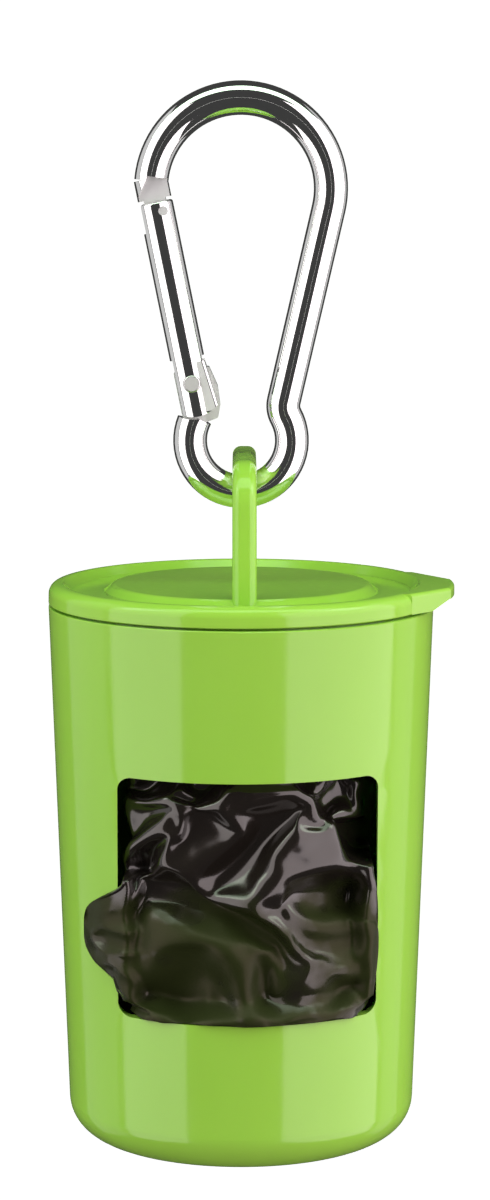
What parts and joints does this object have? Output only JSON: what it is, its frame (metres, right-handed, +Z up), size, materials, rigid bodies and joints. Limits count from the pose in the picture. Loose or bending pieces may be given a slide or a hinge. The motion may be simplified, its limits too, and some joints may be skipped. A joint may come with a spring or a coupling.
{
  "type": "dog waste bag dispenser",
  "caption": "Small drafted cup with a side window and a roll of bags, under a press-on lid with a loop and thumb tab, hung from a spring-gate snap hook.",
  "frame": {"origin": "where the dispenser hangs: the inside of the hook's bow at its top", "axes": "+Z up along the hanging dispenser, -Y towards the bag window's side, +X towards the lid's thumb tab; the hook lies in the XZ plane"},
  "size_m": [0.048, 0.0456, 0.1253],
  "materials": {
    "hook_steel": "polished, nickel plated",
    "rivet_steel": "plated",
    "spring_steel": "drawn wire",
    "green_plastic": "glossy moulded",
    "card": null,
    "bag_film": "thin glossy black film"
  },
  "bodies": {
    "hook": {"carabiner_frame": "hook_steel", "gate_pivot_rivet": "rivet_steel"},
    "gate": {"carabiner_gate": "hook_steel", "gate_latch_pin": "rivet_steel", "gate_plunger": "rivet_steel", "gate_spring": "spring_steel"},
    "lid": {"lid": "green_plastic"},
    "cup": {"cup": "green_plastic", "leading_bag": "bag_film"},
    "roll": {"bag_roll": "bag_film", "roll_core": "card"}
  },
  "joints": [
    {"name": "gate_hinge", "type": "hinge", "parent": "hook", "child": "gate", "pos_m": [-0.00575, 0, -0.0312], "axis": [0, 1, 0], "range_deg": [0, 25], "stiffness_Nm_per_rad": 0.03, "springref_deg": -17.19},
    {"name": "lid_swing", "type": "hinge", "parent": "hook", "child": "lid", "pos_m": [0, 0, -0.044], "axis": [1, 0, 0], "range_deg": [-90, 90]},
    {"name": "cup_pull_off", "type": "slide", "parent": "lid", "child": "cup", "axis": [0, 0, -1], "range_m": [0, 0.04]},
    {"name": "roll_spin", "type": "hinge", "parent": "cup", "child": "roll", "pos_m": [0, 0, -0.0904], "axis": [0, 0, 1], "continuous": true}
  ]
}
